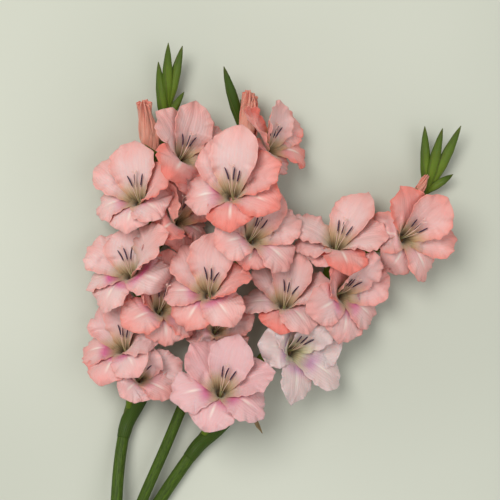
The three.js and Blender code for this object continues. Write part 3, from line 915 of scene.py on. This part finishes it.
stemSkin, bractSkin, cutSkin, stamenSkin = stemMaterial(), bractMaterial(), cutMaterial(), stamenMaterial()
budSkin = petalMaterial("budCoral", budColours)

# Lengths in mm for a floret of size 1, angles in degrees
stamens = {
    "depth": 15,  # the threads start this deep in the tube
    "filament": 21,
    "anther": 15.5,
    "style": 34,
    "stigma": 4.5,
    "filament radius": 0.3,
    "anther radius": 0.75,
    "style radius": 0.36,
    "lean": 30,  # of the anthers, to the hood
    "spread": 13,
    "apart": 0.9,
    "anther bow": 9,
}


# A line that starts in the tube and leans over to the hood, given how far it stands out of the mouth
def arched(flower, length, lean, sideways, count=22):
    size = flower["size"] * mm
    axis, hood = flower["axis"], flower["hood"]
    right = np.cross(hood, axis)
    share = np.linspace(0, 1, count)[:, None]
    tilt = np.radians(lean) * smooth(0.2, 1, share)
    swing = np.radians(sideways) * smooth(0.1, 0.9, share)
    ways = axis * np.cos(tilt) + hood * np.sin(tilt) + right * np.tan(swing)
    steps = unit(ways) * ((stamens["depth"] + length) * size / (count - 1))
    line = np.concatenate([np.zeros((1, 3)), np.cumsum((steps[1:] + steps[:-1]) / 2, 0)])
    return flower["mouth"] - axis * stamens["depth"] * size + hood * 0.8 * size + line


def makeStamens(name):
    flower = florets[name]
    size = flower["size"] * mm
    rng = np.random.default_rng(floretLooks[name]["seed"] + 500)
    lines = []
    right = np.cross(flower["hood"], flower["axis"])
    for k in (-1, 0, 1):
        lean = stamens["lean"] + rng.uniform(-3, 3)
        sideways = k * stamens["spread"] + rng.uniform(-4, 4)
        thread = arched(flower, stamens["filament"], lean, sideways) + right * k * stamens["apart"] * size
        lines.append((thread, stamens["filament radius"] * size * np.linspace(1.3, 0.8, len(thread)), {"kind": 0.0}))
        # the anther hangs on the tip of its thread, a little askew
        way = unit(thread[-1] - thread[-2])
        bend = flower["axis"] * rng.uniform(-0.1, 0.3) + right * (rng.uniform(-0.4, 0.4) + k * 0.2)
        share = np.linspace(-0.18, 0.82, 15)[:, None]
        anther = thread[-1] + way * share * stamens["anther"] * size
        anther = anther + bend * (share ** 2) * stamens["anther bow"] * size
        anther = anther + unit(np.cross(right, way)) * -0.7 * size
        fat = np.sqrt(np.clip(1 - np.linspace(-1, 1, 15) ** 4, 0.02, 1))
        lines.append((anther, stamens["anther radius"] * size * fat, {"kind": 1.0}))
    style = arched(flower, stamens["style"], stamens["lean"] + 7, rng.uniform(-5, 5))
    lines.append((style, stamens["style radius"] * size * np.linspace(1.2, 0.9, len(style)), {"kind": 0.0}))
    way = unit(style[-1] - style[-2])
    over = unit(np.cross(right, way))
    # three lobes spread from its end
    for k in range(3):
        out = right * math.cos(k * 2.09 + 0.5) + over * math.sin(k * 2.09 + 0.5)
        share = np.linspace(0, 1, 9)[:, None]
        lobe = style[-1] + (way * share + out * 0.75 * share ** 1.6) * stamens["stigma"] * size
        lines.append((lobe, size * (0.25 + 0.35 * smooth(0.2, 0.9, share[:, 0])), {"kind": 0.0, "along": 1.0}))
    spike, number = name[:-1], name[-1]
    piece = tubeObject(f"{spike}Stamens{number}", lines, 10, 2, 0.2, stamenSkin)
    fitPiece(piece, None, "stamen_purple", f"{spike}_stamens_{number}")


for name in florets:
    makeStamens(name)
print("stamens made")


stemLooks = {
    "sides": 40,
    "ribs": 11,
    "rib depth": 0.02,  # share of the radius
    "middle": 0.985,  # radius between the ribs' crests and grooves, as a share of the stem's
    "steps": 220,
    "tip radius": 1.6,  # mm
    "beyond": 66,  # how far it runs on into its green tips, in mm, and at most what share of them
    "beyond share": 0.62,
}


def stemLine(spike):
    stem = stems[spike]
    ends = np.array(stem["tips"])
    tallest = max((ends - stem["line"][-1]) @ stem["way"])
    beyond = min(stemLooks["beyond"] * mm, stemLooks["beyond share"] * tallest)
    line = np.concatenate([stem["line"], [stem["line"][-1] + stem["way"] * beyond]])
    radii = np.concatenate([stem["radii"], [stemLooks["tip radius"] * mm]])
    place = np.linspace(0, len(radii) - 1, stemLooks["steps"])
    return smoothLine(line, stemLooks["steps"]), np.interp(place, np.arange(len(radii)), radii)


# reach: share of the tube's line. clear, belly and tip: how far it stands off the tube at its foot, in its middle
# and at its point, in mm for a floret of size 1
bracts = {
    "outer": {"reach": 0.98, "half width": 15, "belly": 2.6, "clear": 0.9, "tip": 2.2},
    "inner": {"reach": 0.74, "half width": 12, "belly": 1.6, "clear": 0.6, "tip": 1.2},
    "wall": 0.7,
    "rows": 40,
    "young": 0.35,
    "dry": 0.7,
}


# Rows of a sheath narrow to a point; wide is half the width it would have laid flat
def sheathRadii(radius, share, wide, point=1.7):
    half = wide * (1 - share ** point) ** 0.8
    return np.clip(half / radius, 0.05, 2.9)


# A leaf's sheath clasps the stem below the lowest floret: where it starts below that floret's foot, how long it is,
# how far it comes loose, all in mm, and how many degrees to the side it faces
sheaths = {
    "left": {"below": 36, "length": 66, "half width": 21, "loose": 5.5, "side": 70},
    "right": {"below": 34, "length": 70, "half width": 20, "loose": 5.0, "side": 60},
}


def sheathParts(spike):
    look = sheaths[spike]
    line, radii = stemLine(spike)
    foot = florets[spike + "1"]["foot"]
    way = np.cumsum(np.concatenate([[0], np.linalg.norm(np.diff(line, axis=0), axis=1)]))
    start = way[np.argmin(np.linalg.norm(line - foot, axis=1))] - look["below"] * mm
    share = np.linspace(0, 1, 44)
    place = start + share * look["length"] * mm
    centre = pointsAt(place, way, line)
    ahead = unit(centre[-1] - centre[0])
    toward = turned(up, unit(np.cross(ahead, up)), look["side"])
    loose = look["loose"] * smooth(0.15, 0.85, share)
    radius = np.interp(place, way, radii) + (0.25 + 0.5 * smooth(0, 0.15, share) + loose) * mm
    centre = centre + toward * (0.7 * loose * mm)[:, None]
    angle = sheathRadii(radius, share, look["half width"] * mm, 2.6)
    sheet, u, v = sheathSheet(centre, toward, radius, angle, veins=13)
    wall = mixed(0.25, 0.9, smooth(0, 0.2, v)) * mm  # thin where it leaves the stem
    return sheetPart(aboveFloor(sheet), u, v, wall, young=0, dry=0.2)


# A narrow strip that dried and curled
strip = {
    # mm from the mouth of a tube
    "line": [(-6, -22, -36), (12, -21, -30), (32, -24, -30), (40, -37, -34), (45, -51, -40)],
    "half width": ([0, 0.5, 0.85, 1], [3.2, 3.2, 3.6, 0.8]),
    "radius": 2.4,
    "turns": (40, 240),  # the way it faces at its start and end
    "wall": 0.5,
}


def driedStrip(flower):
    line = smoothLine(flower["mouth"] + np.array(strip["line"]) * mm, 40)
    share = np.linspace(0, 1, 40)
    turn = np.radians(mixed(*strip["turns"], share))
    side = unit(np.cross(np.gradient(line, axis=0), up))
    toward = up * np.cos(turn)[:, None] + side * np.sin(turn)[:, None]
    radius = np.full(40, strip["radius"] * mm)
    half = np.interp(share, *strip["half width"]) * mm
    sheet, u, v = sheathSheet(line, toward, radius, half / radius, columns=13, veins=3)
    return sheetPart(sheet, u, 0.9 + 0.1 * v, strip["wall"] * mm, young=0, dry=1)


def makeBracts(name):
    flower = florets[name]
    size = flower["size"] * mm
    parts = []
    for kind, toward in (("outer", -flower["hood"]), ("inner", flower["hood"])):
        shape = bracts[kind]
        share = np.linspace(0, 1, bracts["rows"])
        line = tubeLine(flower, share * shape["reach"])
        radius = tubeRadius(flower, np.minimum(1, share * shape["reach"]))
        radius = radius + (shape["clear"] + shape["belly"] * np.sin(np.pi * share) + shape["tip"] * share ** 3) * size
        angle = sheathRadii(radius, share, shape["half width"] * size)
        sheet, u, v = sheathSheet(line, toward, radius, angle)
        parts.append(sheetPart(aboveFloor(sheet), u, v, bracts["wall"] * mm,
                               young=bracts["young"], dry=bracts["dry"]))
    spike, number = name[:-1], name[-1]
    if number == "1" and spike in sheaths:
        parts.append(sheathParts(spike))
    if name == "right1":
        parts.append(driedStrip(flower))
    piece = meshObject(f"{spike}Bracts{number}", *merged(parts))
    fitPiece(piece, bractSkin, "bract_green", f"{spike}_bracts_{number}")


for name in florets:
    makeBracts(name)
print("bracts made")


cutEnd = {
    "sides": 40,
    # share of the stem's radius, and mm beyond its end
    "outline": [(0.86, -0.8), (0.93, -0.3), (0.93, 0.25), (0.8, 0.45), (0.5, 0.6), (0.25, 0.62)],
}

greenTips = {
    "length": 80,
    "half width": 5.9,
    "flat": 0.6,
    "young": {"left": 0.35, "middle": 0.0, "right": 0.35},
    "wall": 0.7,
    "small": 0.55,  # one beside the stem's end
    "outline": ([0, 0.12, 0.36, 0.6, 0.82, 0.94, 1], [0.4, 0.66, 1, 0.92, 0.55, 0.24, 0.04]),
    "layers": ((200, 1.0), (20, 0.9)),  # the way each bract faces, and its share of the width
}


def makeStem(spike):
    line, radii = stemLine(spike)
    piece = tubeObject(spike + "Stem", [(line, radii * stemLooks["middle"], {})], stemLooks["sides"],
                       stemLooks["ribs"], stemLooks["rib depth"], stemSkin)
    fitPiece(piece, None, "stem_green", spike + "_stem")
    # the cut end: a low dome of pith inside the rind
    sides, outline = cutEnd["sides"], cutEnd["outline"]
    way = unit(line[0] - line[2])
    side = unit(np.cross(way, up))
    top = np.cross(way, side)
    turn = np.linspace(0, 2 * np.pi, sides, endpoint=False)
    ring = side * np.cos(turn)[:, None] + top * np.sin(turn)[:, None]
    rings = [line[0] + ring * reach * radii[0] + way * ahead * mm for reach, ahead in outline]
    middles = [line[0] + way * ahead * mm for _, ahead in (outline[0], outline[-1])]
    across = np.concatenate([np.full(sides, reach) for reach, _ in outline] + [[0.0, 0.0]])
    faces = [face[::-1] for face in closedTube(len(outline), sides)]
    cut = meshObject(spike + "CutEnd", np.concatenate(rings + [middles]), faces, {"across": across})
    fitPiece(cut, cutSkin, "stem_green", spike + "_stem")


# A closed green bud: two folded bracts, one round the other, drawn out to points
def makeGreenTips(spike):
    line, radii = stemLine(spike)
    rng = np.random.default_rng(len(spike))
    share = np.linspace(0, 1, 46)
    outline = np.interp(share, *greenTips["outline"])
    parts = []
    for tip in stems[spike]["tips"]:
        away = np.linalg.norm(line - tip, axis=1)
        nearest = line[np.argmin(away)]
        beside = np.linalg.norm(tip - line[-1]) < 32 * mm and tip[0] > nearest[0] + 10 * mm
        scale = greenTips["small"] if beside else 1.0
        length = greenTips["length"] * scale * mm
        base = line[np.argmax(away < length)] if (away < length).any() else line[-1]
        lean = unit(tip - base)
        curve = smoothLine([base - lean * 4 * mm, (base + tip) / 2 + up * 2.5 * mm, tip], 46)
        sideways = unit(np.cross(lean, up))
        for layer, (turn, reach) in enumerate(greenTips["layers"]):
            toward = turned(up, sideways, turn + rng.uniform(-25, 25))
            radius = greenTips["half width"] * math.sqrt(scale) * mm * outline * reach
            half = mixed(2.5, 1.5, smooth(0.1, 1, share))
            sheet, u, v = sheathSheet(curve, toward, np.maximum(radius, 0.25 * mm), half, columns=31)
            # squeezed along the vertical, about the bud's own line
            sheet[..., 2] = curve[:, None, 2] + (sheet[..., 2] - curve[:, None, 2]) * greenTips["flat"]
            wall = greenTips["wall"] * mm * np.clip(radius / (2 * mm), 0.3, 1)[:, None]
            young = greenTips["young"][spike] * (0.4 if layer == 0 else 1.0)
            parts.append(sheetPart(aboveFloor(sheet), u, v, wall, young=young, dry=0.15))
    piece = meshObject(spike + "GreenTips", *merged(parts))
    fitPiece(piece, bractSkin, "bract_green", spike + "_stem")


for spike in spikeNames:
    makeStem(spike)
    makeGreenTips(spike)
print("stems made")


# open: how far its tip has opened. cover: how much of it the green bracts clasp. width: its radius in mm
pinkBuds = {
    "left": {"seed": 5, "open": 0.22, "cover": 0.5, "width": 11.5},
    "middle": {"seed": 6, "open": 0.34, "cover": 0.36, "width": 11},
    "right": {"seed": 7, "open": 0.05, "cover": 0.7, "width": 5.5},
    "wall": 0.6,
    "bow": 1.5,
    "places": [0, 0.1, 0.28, 0.45, 0.68, 0.88, 1],  # the outline's, along the bud
    "outline": [0.3, 0.5, 0.88, 1, 0.7],  # the rest of it depends on how open the bud is
    "bract outline": [0.4, 0.56, 0.92, 1.04, 0.85],
    "bract turns": (150, -30),
}


def makePinkBud(spike):
    look = pinkBuds[spike]
    rng = np.random.default_rng(look["seed"])
    points = nodePoints(spike + "_pink_bud")
    line, _ = stemLine(spike)
    middle = points.mean(0)
    way = np.linalg.svd(points - middle)[2][0]
    reach = (points - middle) @ way
    ends = [middle + way * reach.min(), middle + way * reach.max()]
    foot, tip = sorted(ends, key=lambda end: np.linalg.norm(line - end, axis=1).min())
    belly = (foot + tip) / 2 + up * pinkBuds["bow"] * mm
    sideways = unit(np.cross(tip - foot, up))
    width, opened = look["width"] * mm, look["open"]
    share = np.linspace(0, 1, 44)
    outline = np.interp(share, pinkBuds["places"], pinkBuds["outline"] + [0.38 + 0.4 * opened, 0.24 + 0.8 * opened])
    parts = []
    for k in range(6):
        inner = k % 2
        reachEnd = 1.0 - 0.04 * inner + rng.uniform(-0.05, 0.02)
        curve = smoothLine([foot, belly, foot + (tip - foot) * reachEnd], 44)
        radius = width * outline * (0.94 - 0.13 * inner)
        toward = turned(up, sideways, 60 * k + rng.uniform(-12, 12))
        half = mixed(1.25, 1.0, share) * (1 - share ** 7 * 0.45)
        sheet, u, v = sheathSheet(curve, toward, radius, half, columns=27, depth=0.08)
        # each tepal tucks one side under the next, and its tip is frilled
        out = unit(sheet - curve[:, None] + 1e-9)
        spiral = 0.07 * radius[:, None] * u
        waves = np.sin(7.5 * u + rng.uniform(0, 6)) + 0.5 * np.sin(15 * u + 9 * v + rng.uniform(0, 6))
        frill = width * (0.3 + 0.3 * opened) * smooth(0.3, 1, v) * waves * (0.35 + 0.65 * np.abs(u))
        folds = 1.0 * mm * np.sin(11 * v + 5 * u + rng.uniform(0, 6)) * smooth(0.1, 0.4, v)
        sheet = sheet + out * (spiral + frill + folds)[..., None]
        sheet = sheet - unit(tip - foot) * (np.abs(u) ** 2.2 * smooth(0.8, 1, v) * 7 * mm)[..., None]
        parts.append(sheetPart(aboveFloor(sheet), u, 0.3 + 0.7 * v, pinkBuds["wall"] * mm, lower=0,
                               warmth=0.3 + 0.12 * k, blush=0, rosy=0))
    bud = meshObject(spike + "PinkBud", *merged(parts))
    fitPiece(bud, budSkin, "bud_coral", spike + "_pink_bud")
    # two green bracts clasp its foot
    share = np.linspace(0, 1, 34)
    parts = []
    for layer, turn in enumerate(pinkBuds["bract turns"]):
        cover = look["cover"] * (0.8 if layer else 1)
        curve = smoothLine([foot - (tip - foot) * 0.05, belly, tip], 100)[:int(100 * cover)]
        curve = smoothLine(curve[np.linspace(0, len(curve) - 1, 12).astype(int)], 34)
        outline = np.interp(share * cover, pinkBuds["places"][:5], pinkBuds["bract outline"])
        radius = width * outline + (0.7 - 0.2 * layer) * mm
        half = sheathRadii(radius, share, look["width"] * 2.1 * mm)
        sheet, u, v = sheathSheet(curve, turned(up, sideways, turn), radius, half)
        parts.append(sheetPart(aboveFloor(sheet), u, v, bracts["wall"] * mm, young=0.3, dry=0.6))
    cup = meshObject(spike + "BudBracts", *merged(parts))
    fitPiece(cup, bractSkin, "bract_green", spike + "_pink_bud")


for spike in spikeNames:
    makePinkBud(spike)
print("buds made")


setting = {
    "camera height": 1.62,
    "view angle": 20.29,  # degrees across the picture
    "right of middle": 0.0132,
    "below the tips": 0.2353,
    "floor": (208, 210, 198),
    "floor shade": (196, 198, 186),
    "floor reach": 3.0,
    "room": (0.93, 0.95, 0.9),
    "room strength": 0.44,
    "lights aim": (0, 0.15, 0),
    "lights": {
        "window": {"place": (-0.85, 0.9, 2.2), "size": 1.5, "power": 40, "colour": (1.0, 0.99, 0.96)},
        "fill": {"place": (1.3, -0.5, 1.9), "size": 1.8, "power": 12, "colour": (0.96, 0.98, 1.0)},
    },
}


def makeStage():
    side = setting["floor reach"]
    corners = [(-side, -side, 0), (side, -side, 0), (side, side, 0), (-side, side, 0)]
    floor = meshObject("floor", corners, [(0, 1, 2, 3)])
    material, tree, shader = newMaterial("floorPaint")
    cloud = noise(tree, 1.3, 2)
    colour = blended(tree, span(tree, cloud, 0.35, 0.65), setting["floor shade"], setting["floor"])
    setSockets(tree, shader, {"Base Color": colour, "Roughness": 0.9, "Specular IOR Level": 0.1})
    floor.data.materials.append(material)


def addLight(name, look):
    lamp = bpy.data.lights.new(name, "AREA")
    lamp.shape = "DISK"
    lamp.size = look["size"]
    lamp.energy = look["power"]
    lamp.color = look["colour"]
    holder = addObject(name, lamp)
    holder.location = look["place"]
    toward = Vector(np.array(setting["lights aim"]) - np.array(look["place"]))
    holder.rotation_euler = toward.to_track_quat("-Z", "Y").to_euler()


def makeCamera():
    lens = bpy.data.cameras.new("camera")
    lens.sensor_fit = "AUTO"
    lens.angle = math.radians(setting["view angle"])
    lens.clip_end = 20
    holder = addObject("camera", lens)
    right = (cadBox[0][0] + cadBox[1][0]) / 2 + setting["right of middle"]
    holder.location = (right, cadBox[1][1] - setting["below the tips"], setting["camera height"])
    bpy.context.scene.camera = holder


makeStage()
for name, look in setting["lights"].items():
    addLight(name, look)
world = bpy.data.worlds.new("room")
world.use_nodes = True
room = {0: (*setting["room"], 1), 1: setting["room strength"]}
setSockets(world.node_tree, world.node_tree.nodes["Background"], room)
bpy.context.scene.world = world
bpy.context.scene.view_settings.view_transform = "Standard"
makeCamera()
